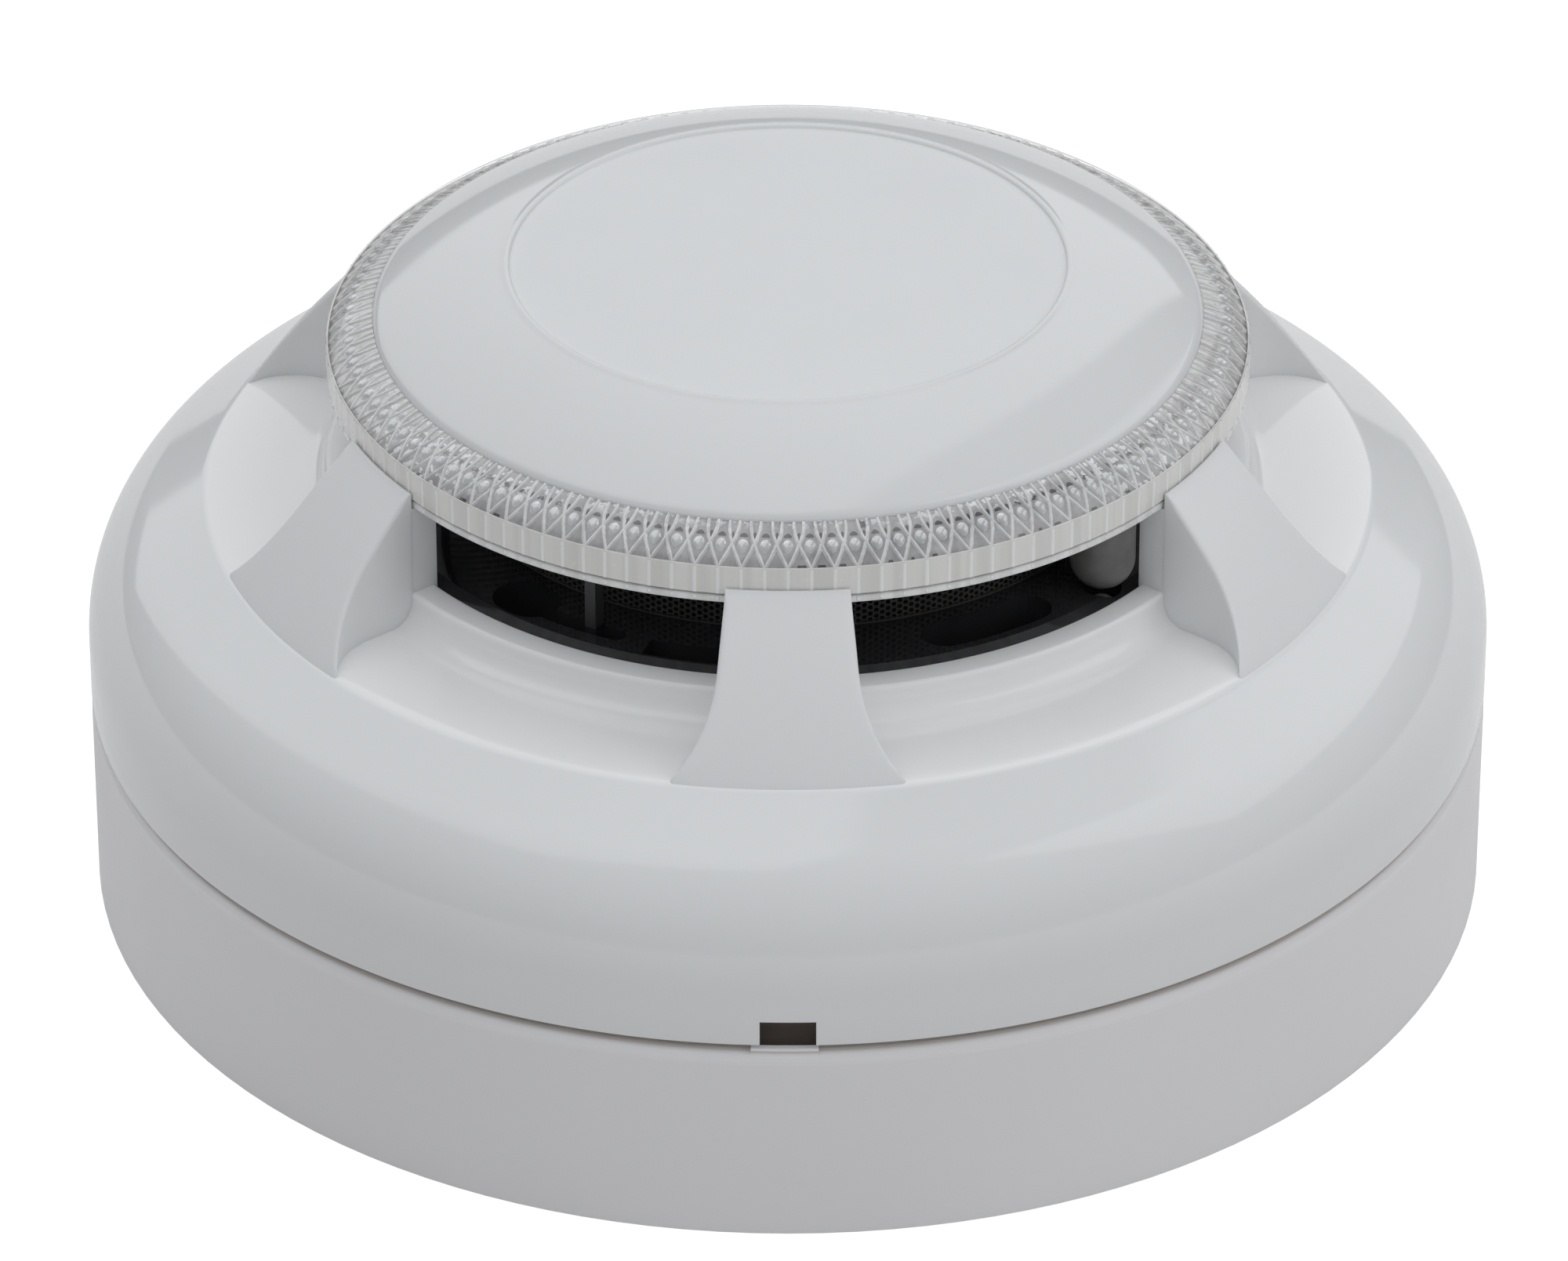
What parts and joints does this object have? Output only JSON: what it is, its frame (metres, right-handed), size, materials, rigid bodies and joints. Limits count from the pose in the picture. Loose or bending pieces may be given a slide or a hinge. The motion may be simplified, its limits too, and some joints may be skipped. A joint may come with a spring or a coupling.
{
  "type": "smoke detector",
  "caption": "Round optical smoke detector: domed head with finned smoke openings, clear light ring and domed cap, twisted into a flat round mounting base.",
  "frame": {"origin": "centre of the base's rear face, which meets the ceiling", "axes": "+Z from the ceiling out through the cap, tool notch facing -Y, ceiling screws on the X axis"},
  "size_m": [0.102, 0.102, 0.0498],
  "materials": {
    "housing_plastic": "polished white moulding",
    "base_plastic": "satin white moulding",
    "latch_plastic": "black acetal",
    "clear_plastic": "clear prismatic moulding",
    "frosted_plastic": "frosted light pipe",
    "chamber_gloss": "glossy black moulding",
    "chamber_matt": "matt black moulding",
    "mesh_metal": "black fine mesh",
    "foam_rubber": "closed-cell foam",
    "brass": "rolled strip",
    "steel": "zinc plated",
    "tinplate": "bright tinplate",
    "board": "green solder resist",
    "chip_plastic": "moulded package",
    "can_sleeve": "heat-shrunk sleeve",
    "ceramic": "fired ceramic chip",
    "clear_epoxy": "water-clear lamp epoxy",
    "emitter_epoxy": "tinted epoxy",
    "filter_epoxy": "daylight filter epoxy"
  },
  "bodies": {
    "base": {"mounting_base": "base_plastic", "terminal_strips": "brass", "clamp_washers": "steel", "terminal_screws": "steel", "latch_spring": "steel"},
    "latch": {"lock_latch": "latch_plastic"},
    "head": {"back_plate": "base_plastic", "contact_blades": "brass", "contact_rivets": "brass", "housing_screws": "steel", "circuit_board": "board", "board_screws": "steel", "microcontroller": "chip_plastic", "driver_chips": "chip_plastic", "capacitors": "can_sleeve", "chip_resistors": "ceramic", "shield_can": "tinplate", "indicator_leds": "clear_epoxy", "light_pipes": "frosted_plastic", "chamber_tray": "chamber_gloss", "chamber_seal": "foam_rubber", "optical_block": "chamber_matt", "labyrinth": "chamber_matt", "infrared_emitter": "emitter_epoxy", "photodiode": "filter_epoxy", "insect_screen": "mesh_metal", "chamber_roof": "chamber_matt", "housing": "housing_plastic", "light_ring": "clear_plastic", "cap": "housing_plastic"}
  },
  "joints": [
    {"name": "head_twist", "type": "hinge", "parent": "base", "child": "head", "pos_m": [0, 0, 0], "axis": [0, 0, 1], "range_deg": [0, 16]},
    {"name": "latch_slide", "type": "slide", "parent": "base", "child": "latch", "axis": [0, 1, 0], "range_m": [0, 0.0015], "stiffness_N_per_m": 800, "springref_m": -0.001, "deforming": ["latch_spring"]}
  ]
}
